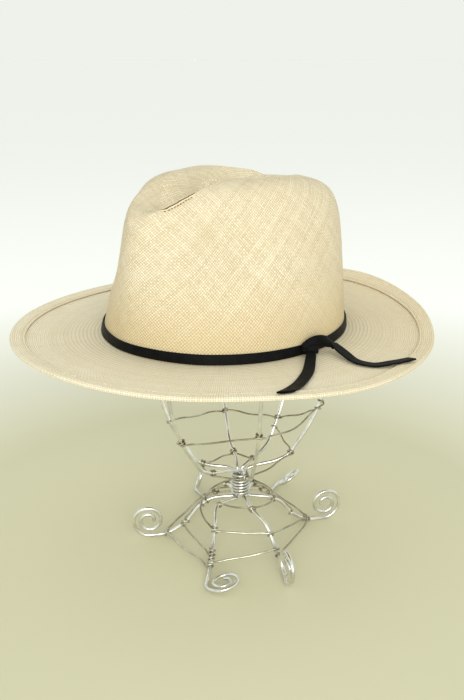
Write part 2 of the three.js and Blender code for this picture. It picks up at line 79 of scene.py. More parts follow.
# Columns: along, half gap, ridge height, depth, drop of the right ridge
CREASE = np.array([
    (-95, 6, 106, 0, 4),
    (-66, 14, 107.5, 3.5, 4.5),
    (-48, 24, 109.3, 14, -0.4),
    (-34, 29.8, 111, 21.4, -0.8),
    (-22, 33, 112.5, 26, 0.4),
    (-7, 35, 114.3, 27.6, 2.7),
    (8, 36, 115, 28.5, 3.7),
    (30, 33, 114.3, 27, 3.3),
    (44, 30, 112.5, 23, 3.5),
    (56, 26, 109.5, 18, 2),
    (70, 19, 105.8, 11, -0.7),
    (84, 8, 105, 3, -1.5),
    (95, 4, 105, 0, 0),
], float)

# Columns: azimuth from the front, left fall, right fall, left rise, right rise
BRIM_EDGE = np.array([
    (0, -2, -2, 5, 5),
    (45, -2, -4, 3, 5),
    (90, -9, -7, 3.5, 6),
    (120, -9, -4, 4, 6),
    (150, -5, -3, 9, 9),
    (180, -3, -3, 14.5, 14.5),
], float)

# Leather band, knot and tails
GAP = 0.3
STRAP_WIDTH = 7.4
STRAP_THICKNESS = 1.4
STRAP_ROUNDING = (0.22, 0.55)  # powers across and through it
BAND_LIFT = 0.8
BAND_WIDTH = 6.9
BAND_ROUNDING = (0.25, 0.6)
BAND_SWAY = [(0.22, 3, math.radians(40)), (0.12, 7, 0)]  # size, pace and phase
KNOT_AZIMUTH = 89

# Columns: azimuth, share of the brim's width, height over the straw, share of the strap's width
FRONT_TAIL = np.array([
    (84, 0.1, 3.6, 0.85),
    (78.8, 0.235, 2.2, 1),
    (72.8, 0.43, 0.9, 1.05),
    (67.7, 0.6, 0.6, 1.05),
    (62.7, 0.8, 1.7, 1),
    (57.8, 0.99, 2.2, 0.95),
], float)
BACK_TAIL = np.array([
    (95.8, 0.15, 6.0, 0.7),
    (93.8, 0.31, 3.8, 1.05),
    (93, 0.48, 1.3, 0.95),
    (95, 0.65, 0.6, 0.9),
    (99.3, 0.79, 1.8, 0.85),
    (104.3, 0.935, 2.7, 0.8),
], float)
TAIL_CURL = 0.15
FRONT_CUT, BACK_CUT = 11, 5  # slant of the far end, on one side or the other

# Strands of the knot in its own axes: along the band, up from its middle, out from its face;
# then the way the strand faces on the same axes, and its width
KNOT_OVER = np.array([
    (-12.0, 0.2, 0.9, 0.0, 0.9, 0.5, 3.5),
    (-7.5, 2.4, 2.8, -0.3, 0.7, 0.7, 5.5),
    (-3.0, 3.0, 5.0, -0.4, 0.3, 0.9, 7.4),
    (1.5, 2.4, 6.2, -0.2, 0.2, 1.0, 8.2),
    (6.0, 1.4, 6.7, -0.1, 0.3, 0.9, 7.8),
    (9.6, -0.2, 7.2, 0.1, 0.6, 0.7, 7.6),
], float)
KNOT_UNDER = np.array([
    (-7.0, 2.4, 0.9, 0.0, 0.9, 0.4, 8.5),
    (-7.2, 1.6, 2.6, -0.4, 0.5, 0.8, 10.5),
    (-7.3, -0.9, 3.9, -0.5, 0.1, 0.85, 11.2),
    (-7.3, -3.3, 4.7, -0.5, 0.0, 0.85, 11.6),
    (-7.3, -4.8, 4.8, -0.45, -0.5, 0.8, 11.6),
    (-7.0, -5.1, 3.2, 0.0, -0.95, 0.2, 10.5),
], float)
KNOT_CURL = -1.2
# Points of the back tail where a strand runs on into it, and the strand's widths there
JOIN_POINTS, JOIN_WIDTHS = [0, 6], (7.6, 7.4)
CORE_LOW, CORE_HIGH = np.array(((-10.5, -4.6, 0.4), (5.5, 2.6, 4.4)))
CORE_ROUNDING = 0.7

# Wire stand
STAND_AXIS = np.array((8.5, 8.5))
RIB_RADIUS = 1.5
CROSS_RADIUS = 0.7
COIL_RADIUS = 0.9
BUNDLE_RADIUS = 4.2
WAIST_BOTTOM = 33.5
WAIST_TOP = 57.5
COIL_TURNS = 7
TIP_HEIGHT = 232
SPIRAL_RADIUS = 14
SPIRAL_EYE = 4
SPIRAL_TURNS = 1.75
FOOT_REACH = 75.5
KNEE_OUT = 24

# Name; rib's direction and girth; slot in the waist; directions of knee and foot,
# the leg's sideways bend and reach; the spiral's direction and lie
WIRES = [
    ("back_left", 53, 1, 55, 42, 59.6, 0, 75, 59.6, 0),
    ("back", 97, 1, 115, 108, 111, 0, 84, 111, -50),
    ("back_right", 149, 1, 175, 164, 166, 0, 78, 134, -16),
    ("front_right", 232.6, 0.93, 235, 232.6, 232.6, 0, 76, 232.6, 0),
    ("front", 265, 1, 295, 267, 296, 0, 80, 296, 76),
    ("front_left", 326, 1, 355, 338, 339, 7.5, 83, 335, 0),
]
# Ties on each rib: upper in and out by height, hang of the upper wire that leaves,
# lower in and out by distance
RIB_TIES = [
    (114, 108, 1, 42, 42),
    (86, 86, 0, 46, 18),
    (88, 88, -1, 25, 25),
    (103, 86, 0, 32, 32),
    (100, 100, 0, 28, 28),
    (117, 117, 6, 24, 24),
]
# Ties on each leg by distance on its profile: upper, middle and foot, each in and out
LEG_TIES = [
    (28, 28, 56, 43, 60, 57),
    (23, 23, 41, 41, 57, 57),
    (23, 23, 41, 41, 57, 57),
    (29, 31, 45, 46.5, 60, 61.5),
    (37, 21, 51, 37.5, 60, 57),
    (22, 22, 40, 40, 49, 51),
]
BASKET_UPPER_BOW, BASKET_LOWER_BOW = 1.5, 1
TIE_TURNS = 0.9
TIE_PITCH = 1.5
TIE_DROP = 0.25  # from the tie to the winding's end, in pitches
WOUND_FOOT = "front"  # its lowest tie is a longer winding
WINDING_TURNS = 5
WINDING_PITCH = 3.3
# Spans drawn with a paler copy of the tie wire: painted light, as if lit from the front
FRONT_LIT_SPANS = ("base_lower_front_right", "base_lower_front", "base_middle_front")
WIRE_WAVE = {"basket": 0.7, "base": 0.3}
WAVE_PACE = 9
FULL_WAVE_SPAN = 50
TIE_LEAD = 0.035  # share of a span that leaves its tie straight
# Columns: distance from the stand's axis, height
RIB_PROFILE = [(13, 60.5), (29, 63.5), (40, 69), (47, 79), (57, 95), (66, 117), (71, 145), (74, 176)]
LEG_PROFILE = [(13, 33.5), (24, 32.5), (34, 26), (45, 12.5), (60, 3.2)]
# Name and bow, in the order of the ties
LEG_RINGS = [("base_upper", 4), ("base_middle", 1.5), ("base_lower", 1.5)]

# Split along the near ridge, its gap a dark strip of painted shade, and the hem's stitches
SPLIT_ALONG = (75, 54)
SPLIT_POINTS = 90
SPLIT_WIDTH, SPLIT_THICKNESS = 1.1, 0.3
SPLIT_END_WIDTH = 0.06
SPLIT_LIFT = 0.1
SPLIT_WANDER = [(0.12, 19, 0), (0.08, 43, 1)]  # size, pace and phase
LIP_WIDTH, LIP_THICKNESS = 1.0, 0.6
SECOND_LINE = 2.4
SECOND_LINE_WIDTH = 0.4
SECOND_LINE_LIFT = 0.08
DASH_STARTS = range(8, 78, 7)
DASH_POINTS = 5
STITCH_COUNT = 300
STITCH_INSET = 2.2
STITCH_RADIUS = 0.28
STITCH_HALF_LENGTH = 0.3  # in pitches

# Slight unevenness of the crown's wall; columns: size, waves round it, twist with height, phase
HAND_WAVES = [(0.16, 5, 0.045, 0.6), (0.112, 9, -0.07, 2.1), (0.08, 14, 0.11, 4.0)]
HAND_WAVES_FROM, HAND_WAVES_FADE = 12, 25

# Finer than the solids
HAT_SEGMENTS = 360
CROWN_STRANDS = 236  # strands of one lay round the crown's wall
FEWEST_STRANDS = 12
FULL_WEAVE_RADIUS = 52  # strands halve inside it, and again at each half of it
BRIM_STRANDS = 640
STRAP_SIDES = 28
BAND_SEGMENTS, BAND_SIDES = 300, 24
CORE_RINGS, CORE_SIDES = 16, 32
WIRE_SIDES = 14
CROSS_SIDES = 10
STITCH_SIDES = 6
ROUND_END = [(0.35, 0.94), (0.75, 0.66), (0.97, 0.25)]  # past a wire's end and girth, in radii
SMOOTH_STEPS = 40
SEARCH_STEPS = 30
TAIL_POINTS = 60
STRAND_POINTS = 48
RIB_POINTS, LEG_POINTS = 90, 60
SPAN_GUIDES, SPAN_POINTS = 7, 48
TURN_POINTS = {"spiral": 48, "coil": 40, "tie": 30}
CROWN_SLOT, BRIM_SLOT, HEM_SLOT = range(3)
# Rows on the crown's wall, outside and inside: first share, last share, count
OUTER_ROWS = [(1.985, 1.3, 38), (1.285, 0.9, 30), (0.87, 0.03, 30)]
INNER_ROWS = [(0.05, 0.87, 18), (0.92, 1.3, 14), (1.34, 1.96, 16)]
TOP_ROWS, HEM_ROWS, EDGE_ROWS = 36, 10, 9
UNDER_HEM_ROWS, UNDER_BRIM_ROWS = 7, 20
HEM_MARGIN = 0.02
FOOT_MARGIN = 0.03
# Folded edge of the hem: place in tucks from its line, height over the brim
HEM_FOLD = [(0.3, 0), (1, 0.05), (0.3, 0.5), (-0.1, 0.7), (-0.2, 1.0), (-0.1, 1.35), (0.15, 1.5)]

# Looks
PALE = (0.92, 0.86, 0.69)
CREAM = (0.83, 0.745, 0.555)
TAN = (0.59, 0.47, 0.285)
HONEY = (0.70, 0.56, 0.32)
# Shares of strand, crossing, fibre, patch and upper lay in the straw's tone; the upper lay's share is
# painted shade
TONE_SHARES = (0.3, 0.14, 0.28, 0.28, -0.06)
MIDDLE_TONE = 0.47
ARCH_BASE, ARCH_RISE = 0.55, 0.45  # how high a strand stands across the other lay
# Chance in each lay's strands, step and start, and in their crossings
LAY_SEEDS = [(1.371, 0.5), (2.113, 9.7)]
CELL_SEEDS = (1.371, 17.13)
# Grain of each surface, per metre
FIBRE_SCALE, PATCH_SCALE, BLOTCH_SCALE, LOOSE_SCALE = 900, 120, 22, 700
PORE_SCALE, SCUFF_SCALE = 1500, 160
DULL_SCALE, DRAWN_SCALE = 90, 1400
BLOTCH_TINT = 0.15
FOOT_TINT_RISE = 55
# Painted warm shade on the brim's far side, as if shaded there and lit by light bounced off the crown
FAR_SHADE_WAY = (0.6, 0.8)  # towards the side of the brim given painted warm shade
FAR_FROM, FAR_TO = 40, 140
FAR_SHADE_LEAST = 0.12
RING_PITCH = 2.8
RING_FADE_FROM, RING_FADE_TO = 8.0, 46.0
RING_REST = 0.15
# Painted shade in the weave's grooves: strand height up to which the colour darkens, and its darkest
# share
GROOVE_EDGE, GROOVE_SHADE = 0.65, 0.66
GROOVE_SHADE_TINT = (1, 1.12, 1.35)  # powers by channel of the painted groove shade, warmer where darker
LEATHER_DARK, LEATHER_LIGHT = (0.002, 0.0024, 0.0028), (0.007, 0.0068, 0.0064)

# Floor, light and camera; metres from here on
FLOOR_HALF_SIDE = 60
FLOOR_SINK = 0.00002
# Distance from the middle, colour; the paler tone at the middle is painted light that lifts the shade
# under the hat and stand
FLOOR_TONES = [(0.08, (0.71, 0.69, 0.505)), (0.25, (0.605, 0.588, 0.425)), (0.75, (1.0, 1.0, 1.0))]
BACKDROP = (0.855, 0.887, 0.823, 1)
HAT_MIDDLE = (0, 0, 0.22)
CAMERA_PLACE = Vector((0.4399, -0.4328, 0.3769))
CAMERA_AZIMUTH = 45
CAMERA_PITCH = 19.3
FOCAL_PIXELS = 840
FRAME_HEIGHT = 700
SENSOR = 36


# Shape functions

def smoothstep(x):
    t = np.clip(x, 0, 1)
    return t * t * (3 - 2 * t)


def bump(x):
    return (1 - np.minimum(x * x, 1)) ** 2


def lerp(a, b, t):
    return a + (b - a) * t


def squared(circle, power):
    """Coordinate on a circle, pushed out towards a square by a power under 1."""
    return np.sign(circle) * np.abs(circle) ** power


def waves(x, table):
    return sum(size * np.sin(pace * x + phase) for size, pace, phase in table)


def curve_through(xs, ys):
    """Smooth curve through a table's columns, level at both ends."""
    xs, ys = np.asarray(xs, float), np.asarray(ys, float)
    pitch = np.diff(ys) / np.diff(xs)
    slopes = np.zeros(len(xs))
    before, after = pitch[:-1], pitch[1:]
    same = before * after > 0
    slopes[1:-1][same] = 2 * before[same] * after[same] / (before[same] + after[same])

    def at(x):
        x = np.clip(x, xs[0], xs[-1])
        i = np.clip(np.searchsorted(xs, x) - 1, 0, len(xs) - 2)
        span = xs[i + 1] - xs[i]
        t = (x - xs[i]) / span
        level = ys[i] + (ys[i + 1] - ys[i]) * t * t * (3 - 2 * t)
        return level + span * t * (1 - t) * (slopes[i] * (1 - t) - slopes[i + 1] * t)

    return at


def columns_of(table):
    """One smooth curve for each column after the first."""
    return [curve_through(table[:, 0], column) for column in table.T[1:]]


wall_lean, = columns_of(WALL_LEAN)
crease_half_gap, crease_ridge, crease_depth, ridge_drop = columns_of(CREASE)
left_fall, right_fall, left_rise, right_rise = columns_of(BRIM_EDGE)


def around_head(azimuth):
    """Azimuth from the front on either side, and whether it is on the right."""
    turned = np.mod(azimuth + 180, 360) - 180
    return np.abs(turned), turned < 0


def head_radius(azimuth):
    angle = np.radians(azimuth)
    return 1 / np.hypot(np.cos(angle) / HEAD_HALF_LENGTH, np.sin(angle) / HEAD_HALF_WIDTH)


def foot_height(azimuth):
    """Height of the line where the crown's wall meets the brim."""
    return -FOOT_DROP * (1 + np.cos(np.radians(azimuth - FOOT_LOW_AZIMUTH))) / 2


def polar_point(azimuth, radius, height):
    angle = np.radians(azimuth)
    return np.stack(np.broadcast_arrays(radius * np.sin(angle), -radius * np.cos(angle), height), -1)


def crown_section(share):
    """Rise and girth of the crown's squarish section, both from 0 to 1."""
    shoulder = 2 ** (-1 / CROWN_SQUARENESS)

    def other(side):
        return np.maximum(1 - np.abs(side) ** CROWN_SQUARENESS, 0) ** (1 / CROWN_SQUARENESS)

    low = share <= 1
    height = np.where(low, shoulder * share, other(shoulder * (2 - share)))
    radius = np.where(low, other(shoulder * share), shoulder * (2 - share))
    return height, radius


def crown_radius(azimuth, rise, girth):
    """Distance of the crown from its middle, before the front pinches."""
    from_front, _ = around_head(azimuth)
    return head_radius(azimuth) * girth * (1 - wall_lean(from_front) * rise)


def crown_point(azimuth, share):
    """Point of the crown; share is 0 at its foot, 1 at its shoulder and 2 in the middle of the top."""
    rise, girth = crown_section(share)
    from_front, _ = around_head(azimuth)
    radius = crown_radius(azimuth, rise, girth)
    along = radius * np.cos(np.radians(azimuth))
    across = radius * np.sin(np.radians(azimuth))
    half_gap = crease_half_gap(along)
    to_right = smoothstep(-across / half_gap)
    uncreased = (crease_ridge(along) - ridge_drop(along) * to_right) * rise
    power = lerp(CREASE_SOFT, CREASE_CRISP, smoothstep(along / HEAD_HALF_LENGTH))
    hollow = (1 - np.minimum((across / half_gap) ** 2, 1)) ** power
    on_top = smoothstep((rise - CREASE_START) / (CREASE_FULL - CREASE_START))
    height = uncreased - crease_depth(along) * hollow * on_top + foot_height(azimuth) * (1 - rise)
    dent_across = np.radians(from_front - PINCH_AZIMUTH) * head_radius(azimuth) / PINCH_REACH
    dent_up = (uncreased - PINCH_HEIGHT) / PINCH_RISE
    dent = PINCH_DEPTH * bump(np.hypot(dent_across, dent_up))
    return polar_point(azimuth, np.maximum(radius - dent, 0), height)


def brim_point(azimuth, share):
    """Point of the brim; share is 0 at the crown's foot and 1 at the edge."""
    from_front, right = around_head(azimuth)
    fall = np.where(right, right_fall(from_front), left_fall(from_front))
    rise = np.where(right, right_rise(from_front), left_rise(from_front))
    height = foot_height(azimuth) * (1 - share) ** 2
    height = height + fall * share + rise * np.maximum(share, 0) ** BRIM_CURL
    return polar_point(azimuth, head_radius(azimuth) + BRIM_WIDTH * share, height)


def unit(v):
    return v / np.maximum(np.linalg.norm(v, axis=-1, keepdims=True), 1e-12)


def normal_at(surface, azimuth, share):
    step = 0.01
    around = surface(azimuth + 1, share) - surface(azimuth - 1, share)
    onward = surface(azimuth, share + step) - surface(azimuth, share - step)
    normal = unit(np.cross(around, onward))
    return -normal if surface is brim_point else normal


def share_while(holds, low, high):
    """Share between two bounds up to which a test holds."""
    for _ in range(SEARCH_STEPS):
        middle = (low + high) / 2
        held = holds(middle)
        low, high = np.where(held, middle, low), np.where(held, high, middle)
    return low


def wall_point(azimuth, height):
    """Point of the crown's wall at a height over the brim."""
    azimuth, height = np.broadcast_arrays(azimuth, height)

    def below(share):
        return crown_point(azimuth, share)[..., 2] < height

    return crown_point(azimuth, share_while(below, np.zeros(azimuth.shape), np.ones(azimuth.shape)))


def hand_waves(azimuth, height):
    """Slight unevenness of a hand-blocked crown, none at its foot."""
    angle = np.radians(azimuth)
    uneven = sum(
        size * np.sin(pace * angle + twist * height + phase) for size, pace, twist, phase in HAND_WAVES
    )
    return uneven * smoothstep((height - HAND_WAVES_FROM) / HAND_WAVES_FADE)


def lengths_along(path):
    """Distance from a path's start to each of its points."""
    return np.append(0, np.cumsum(np.linalg.norm(np.diff(path, axis=0), axis=1)))


def at_places(places, known, values):
    """Rows of a table of vectors, read off between the known places."""
    return np.stack([np.interp(places, known, column) for column in values.T], -1)


# Mesh helpers

def make_piece(name, points, faces, material, uvs=None, face_slots=None):
    """Object from points in millimetres above the floor, with uvs per face corner."""
    mesh = bpy.data.meshes.new(name)
    mesh.from_pydata((np.asarray(points) * MM).tolist(), [], [list(map(int, f)) for f in faces])
    mesh.polygons.foreach_set("use_smooth", np.ones(len(mesh.polygons), bool))
    for uv_name, values in (uvs or {}).items():
        layer = mesh.uv_layers.new(name=uv_name)
        layer.data.foreach_set("uv", np.asarray(values, np.float32).ravel())
    materials = material if isinstance(material, list) else [material]
    for each in materials:
        mesh.materials.append(each)
    if face_slots is not None:
        mesh.polygons.foreach_set("material_index", np.asarray(face_slots, np.int32))
    mesh.validate(clean_customdata=False)
    mesh.update()
    piece = bpy.data.objects.new(name, mesh)
    bpy.context.scene.collection.objects.link(piece)
    return piece


def dress(piece, slot, *nodes):
    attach(piece, BODY)
    if nodes:
        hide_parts(*nodes)
    return piece


def carried_frames(path):
    """Directions and normals along a path, each normal carried from the last."""
    ways = unit(np.gradient(path, axis=0))
    normal = np.array((0.0, 0.0, 1.0)) if abs(ways[0][2]) < 0.9 else np.array((1.0, 0.0, 0.0))
    normals = []
    for way in ways:
        normal = unit(normal - way * np.dot(normal, way))
        normals.append(normal)
    return ways, np.array(normals)


def tube(path, radius, sides=WIRE_SIDES):
    """Points and faces of a round wire with rounded ends."""
    path = np.asarray(path, float)
    ways, normals = carried_frames(path)
    sideways = np.cross(ways, normals)
    rows = [(p, k, radius) for k, p in enumerate(path)]
    for out, share in ROUND_END:
        rows.insert(0, (path[0] - ways[0] * radius * out, 0, radius * share))
        rows.append((path[-1] + ways[-1] * radius * out, -1, radius * share))
    angle = np.linspace(0, 2 * math.pi, sides, endpoint=False)
    rings = [
        centre + r * (np.cos(angle)[:, None] * normals[k] + np.sin(angle)[:, None] * sideways[k])
        for centre, k, r in rows
    ]
    return skin(np.array(rings))


def quads(count, size, steps):
    """Faces from ring to ring; past the last ring comes the first."""
    k, i = np.meshgrid(np.arange(steps), np.arange(size), indexing="ij")
    j = (i + 1) % size
    here, there = k * size, (k + 1) % count * size
    return np.stack((here + i, here + j, there + j, there + i), -1).reshape(-1, 4)


def skin(rings):
    """Points and faces of a closed body.

    Each ring runs counter-clockwise about the way of travel.
    """
    count, size = rings.shape[:2]
    first = list(range(size))[::-1]
    last = list(range((count - 1) * size, count * size))
    return rings.reshape(-1, 3), [*quads(count, size, count - 1).tolist(), first, last]


def joined(bodies):
    """One set of points and faces from several."""
    points, faces, count = [], [], 0
    for body_points, body_faces in bodies:
        points.append(body_points)
        faces += [[count + i for i in face] for face in body_faces]
        count += len(body_points)
    return np.concatenate(points), faces


def strap_rings(path, normals, widths, thickness, curl=0.0, cut=0.0):
    """Rings of a flat strap with rounded edges.

    Curl lifts its edges, and cut shortens one side at the far end.
    """
    ways = unit(np.gradient(path, axis=0))
    normals = unit(normals - ways * np.sum(normals * ways, -1, keepdims=True))
    sideways = np.cross(ways, normals)
    angle = np.linspace(0, 2 * math.pi, STRAP_SIDES, endpoint=False)
    across = squared(np.cos(angle), STRAP_ROUNDING[0])
    up = squared(np.sin(angle), STRAP_ROUNDING[1]) + curl * across ** 2
    kept = 1 - abs(cut) / lengths_along(path)[-1] * (1 + np.sign(cut) * across) / 2
    steps = np.arange(len(path))
    lines = []
    for a, u, share in zip(across, up, kept):
        at = steps * share
        half = np.interp(at, steps, widths)[:, None] / 2
        line = at_places(at, steps, path) - at_places(at, steps, sideways) * a * half
        lines.append(line + at_places(at, steps, normals) * u * thickness / 2)
    return np.array(lines[::-1]).transpose(1, 0, 2)


def smooth_path(points, count):
    """Evenly spaced points on a centripetal Catmull-Rom curve."""
    p = np.asarray(points, float)
    p = np.concatenate(([2 * p[0] - p[1]], p, [2 * p[-1] - p[-2]]))
    gaps = np.maximum(np.linalg.norm(np.diff(p, axis=0), axis=1) ** 0.5, 1e-6)
    dense = []
    for i in range(1, len(p) - 2):
        d0, d1, d2 = gaps[i - 1], gaps[i], gaps[i + 1]
        t1 = ((p[i] - p[i - 1]) / d0 - (p[i + 1] - p[i - 1]) / (d0 + d1) + (p[i + 1] - p[i]) / d1) * d1
        t2 = ((p[i + 1] - p[i]) / d1 - (p[i + 2] - p[i]) / (d1 + d2) + (p[i + 2] - p[i + 1]) / d2) * d1
        t = np.linspace(0, 1, SMOOTH_STEPS, endpoint=False)[:, None]
        dense.append(
            (2 * t**3 - 3 * t**2 + 1) * p[i] + (t**3 - 2 * t**2 + t) * t1
            + (3 * t**2 - 2 * t**3) * p[i + 1] + (t**3 - t**2) * t2
        )
    dense = np.concatenate(dense + [p[-2:-1]])
    length = lengths_along(dense)
    return at_places(np.linspace(0, length[-1], count), length, dense)


# Material helpers

class Shader:
    """Small helper that adds nodes to one material."""

    def __init__(self, name):
        self.material = bpy.data.materials.new(name)
        self.material.use_nodes = True
        self.tree = self.material.node_tree
        self.bsdf = self.tree.nodes["Principled BSDF"]

    def fill(self, node, inputs):
        """Set a node's inputs, by number or name."""
        for key, value in inputs.items():
            if isinstance(value, bpy.types.NodeSocket):
                self.tree.links.new(value, node.inputs[key])
            else:
                node.inputs[key].default_value = value

    def add(self, kind, inputs, **settings):
        node = self.tree.nodes.new(kind)
        for key, value in settings.items():
            setattr(node, key, value)
        self.fill(node, inputs)
        return node

    def surfaced(self, inputs):
        self.fill(self.bsdf, inputs)
        return self.material

    def math(self, operation, *values):
        return self.add("ShaderNodeMath", dict(enumerate(values)), operation=operation).outputs[0]

    def mix(self, factor, a, b, blend="MIX"):
        inputs = {0: factor, 6: a, 7: b}
        return self.add("ShaderNodeMix", inputs, data_type="RGBA", blend_type=blend).outputs[2]

    def ramp(self, factor, stops):
        node = self.add("ShaderNodeValToRGB", {0: factor})
        elements = node.color_ramp.elements
        while len(elements) < len(stops):
            elements.new(0.5)
        for element, (place, colour) in zip(elements, stops):
            element.position = place
            element.color = (*colour, 1)
        return node.outputs[0]

    def remap(self, value, low, high, to_low, to_high):
        inputs = enumerate((value, low, high, to_low, to_high))
        return self.add("ShaderNodeMapRange", dict(inputs)).outputs[0]

    def place(self):
        return self.add("ShaderNodeTexCoord", {}).outputs["Object"]

    def noise(self, scale, detail, roughness):
        inputs = {"Vector": self.place(), "Scale": scale, "Detail": detail, "Roughness": roughness}
        return self.add("ShaderNodeTexNoise", inputs).outputs[0]

    def chance(self, value):
        return self.add("ShaderNodeTexWhiteNoise", {"W": value}, noise_dimensions="1D").outputs["Value"]

    def split(self, vector):
        return list(self.add("ShaderNodeSeparateXYZ", {0: vector}).outputs)

    def uv(self, name):
        return self.split(self.add("ShaderNodeUVMap", {}, uv_map=name).outputs[0])[:2]

    def relief(self, height, distance, strength, under=None):
        inputs = {"Height": height, "Distance": distance, "Strength": strength}
        if under is not None:
            inputs["Normal"] = under
        return self.add("ShaderNodeBump", inputs).outputs[0]


def straw_material(name, stops, rings=0.0, foot=0.0, far=0.0, contrast=1.0):
    """Plain-woven straw, with painted shade in its grooves, on crossings of one lay and, where asked,
    towards the brim's far side.

    The weave map counts strands of the two lays; the place map runs round and outwards.
    """
    s = Shader(name)
    a, b = s.uv("weave")
    _, out = s.uv("place")
    strands = [s.math("FLOOR", lay) for lay in (a, b)]
    over = s.math("FLOORED_MODULO", s.math("ADD", *strands), 2.0)

    def arch(lay):
        return s.math("SINE", s.math("MULTIPLY", s.math("FRACT", lay), math.pi))

    def top(along, across):
        return s.math("MULTIPLY", along, s.math("MULTIPLY_ADD", across, ARCH_RISE, ARCH_BASE))

    def pick(first, second):
        under = s.math("SUBTRACT", 1.0, over)
        return s.math("ADD", s.math("MULTIPLY", first, under), s.math("MULTIPLY", second, over))

    arch_a, arch_b = arch(a), arch(b)
    height = pick(top(arch_a, arch_b), top(arch_b, arch_a))
    seeded = zip(strands, LAY_SEEDS)
    shades = [s.chance(s.math("MULTIPLY_ADD", strand, *seed)) for strand, seed in seeded]
    crossing = s.math("MULTIPLY", strands[1], CELL_SEEDS[1])
    cell = s.chance(s.math("MULTIPLY_ADD", strands[0], CELL_SEEDS[0], crossing))
    fibre = s.noise(FIBRE_SCALE, detail=3.0, roughness=0.6)
    blotch = s.noise(BLOTCH_SCALE, detail=3.0, roughness=0.55)
    patch = s.noise(PATCH_SCALE, detail=2.0, roughness=0.5)
    # Painted shade: crossings where the second lay lies on top come out darker, as if that lay caught
    # less light
    tone = 0.0
    for source, share in zip((pick(*shades), cell, fibre, patch, over), TONE_SHARES):
        tone = s.math("MULTIPLY_ADD", source, share, tone)
    tone = s.math("MULTIPLY_ADD", tone, contrast, MIDDLE_TONE * (1 - contrast))
    colour = s.ramp(tone, list(zip(stops, (TAN, CREAM, PALE))))
    colour = s.mix(s.remap(blotch, 0.35, 0.75, 0.0, BLOTCH_TINT), colour, (*TAN, 1))
    x, y, z = s.split(s.place())
    if foot:
        low, high = BRIM_HEIGHT * MM, (BRIM_HEIGHT + FOOT_TINT_RISE) * MM
        colour = s.mix(s.remap(z, low, high, foot, 0.0), colour, (*HONEY, 1))
    # Painted shade: the straw turns warmer and darker towards the brim's far side, as if shaded and lit
    # by warm bounced light
    if far:
        beyond = s.math("MULTIPLY_ADD", x, FAR_SHADE_WAY[0], s.math("MULTIPLY", y, FAR_SHADE_WAY[1]))
        far_shade = s.remap(beyond, FAR_FROM * MM, FAR_TO * MM, FAR_SHADE_LEAST, far)
        colour = s.mix(far_shade, colour, (*HONEY, 1))
    if rings:
        wave = s.math("SINE", s.math("MULTIPLY", out, 2 * math.pi / RING_PITCH))
        fade = s.remap(out, RING_FADE_FROM, RING_FADE_TO, rings, RING_REST * rings)
        colour = s.mix(s.math("MULTIPLY", s.math("MAXIMUM", wave, 0.0), fade), colour, (*TAN, 1))
    # Painted shade: the colour darkens and warms down in the grooves where the strands dip, as if
    # shaded there
    shade = s.remap(height, 0.0, GROOVE_EDGE, GROOVE_SHADE, 1.0)
    channels = {k: s.math("POWER", shade, power) for k, power in enumerate(GROOVE_SHADE_TINT)}
    groove_shade = s.add("ShaderNodeCombineColor", channels).outputs[0]
    return s.surfaced({
        "Base Color": s.mix(1.0, colour, groove_shade, "MULTIPLY"),
        "Roughness": s.remap(tone, 0.1, 0.9, 0.8, 0.58),
        "Specular IOR Level": 0.3,
        "Normal": s.relief(height, distance=0.0005, strength=0.75),
    })


def leather_material():
    s = Shader("strap_leather")
    inputs = {"Vector": s.place(), "Scale": PORE_SCALE}
    grain = s.add("ShaderNodeTexVoronoi", inputs, feature="DISTANCE_TO_EDGE")
    pores = s.remap(grain.outputs["Distance"], 0.0, 0.25, 0.0, 1.0)
    scuff = s.noise(SCUFF_SCALE, detail=4.0, roughness=0.6)
    under = s.relief(scuff, distance=0.0004, strength=0.25)
    return s.surfaced({
        "Base Color": s.ramp(scuff, [(0.35, LEATHER_DARK), (0.75, LEATHER_LIGHT)]),
        "Roughness": s.remap(scuff, 0.3, 0.7, 0.36, 0.55),
        "Specular IOR Level": 0.07,
        "Normal": s.relief(pores, distance=0.00012, strength=0.5, under=under),
    })


def loose_straw_material(name, dark, light):
    s = Shader(name)
    fibre = s.noise(LOOSE_SCALE, detail=3.0, roughness=0.6)
    return s.surfaced({
        "Base Color": s.ramp(fibre, [(0.3, dark), (0.7, light)]),
        "Roughness": 0.7,
        "Specular IOR Level": 0.3,
        "Normal": s.relief(fibre, distance=0.0002, strength=0.4),
    })


def wire_material(name, dark, light):
    s = Shader(name)
    dull = s.noise(DULL_SCALE, detail=3.0, roughness=0.6)
    drawn = s.noise(DRAWN_SCALE, detail=2.0, roughness=0.5)
    return s.surfaced({
        "Base Color": s.ramp(dull, [(0.3, dark), (0.65, light)]),
        "Metallic": 1.0,
        "Roughness": s.remap(dull, 0.3, 0.7, 0.3, 0.18),
        "Normal": s.relief(drawn, distance=0.00006, strength=0.35),
    })


crown_straw = straw_material("crown_straw", (0.1, 0.6, 1.0), foot=0.9, contrast=0.86)
brim_straw = straw_material("brim_straw", (0.0, 0.21, 0.5), rings=0.55, far=0.42)
hem_straw = straw_material("hem_straw", (0.0, 0.27, 0.6), far=0.42)
# Dark straw of the split: painted shade of its gap
split_shade_straw = loose_straw_material("split_shade_straw", (0.05, 0.022, 0.008), (0.16, 0.085, 0.03))
lifted_straw = loose_straw_material("lifted_straw", HONEY, CREAM)
thread_straw = loose_straw_material("thread_straw", (0.58, 0.44, 0.24), CREAM)
leather = leather_material()
rib_metal = wire_material("rib_wire", (0.62, 0.62, 0.59), (0.93, 0.93, 0.91))
tie_metal = wire_material("tie_wire", (0.24, 0.22, 0.15), (0.60, 0.57, 0.46))
# Paler copy of the tie wire: painted light for the front spans
front_lit_metal = wire_material("front_lit_tie_wire", (0.40, 0.38, 0.31), (0.78, 0.76, 0.69))


# Straw body: crown, brim and folded hem in one closed sheet

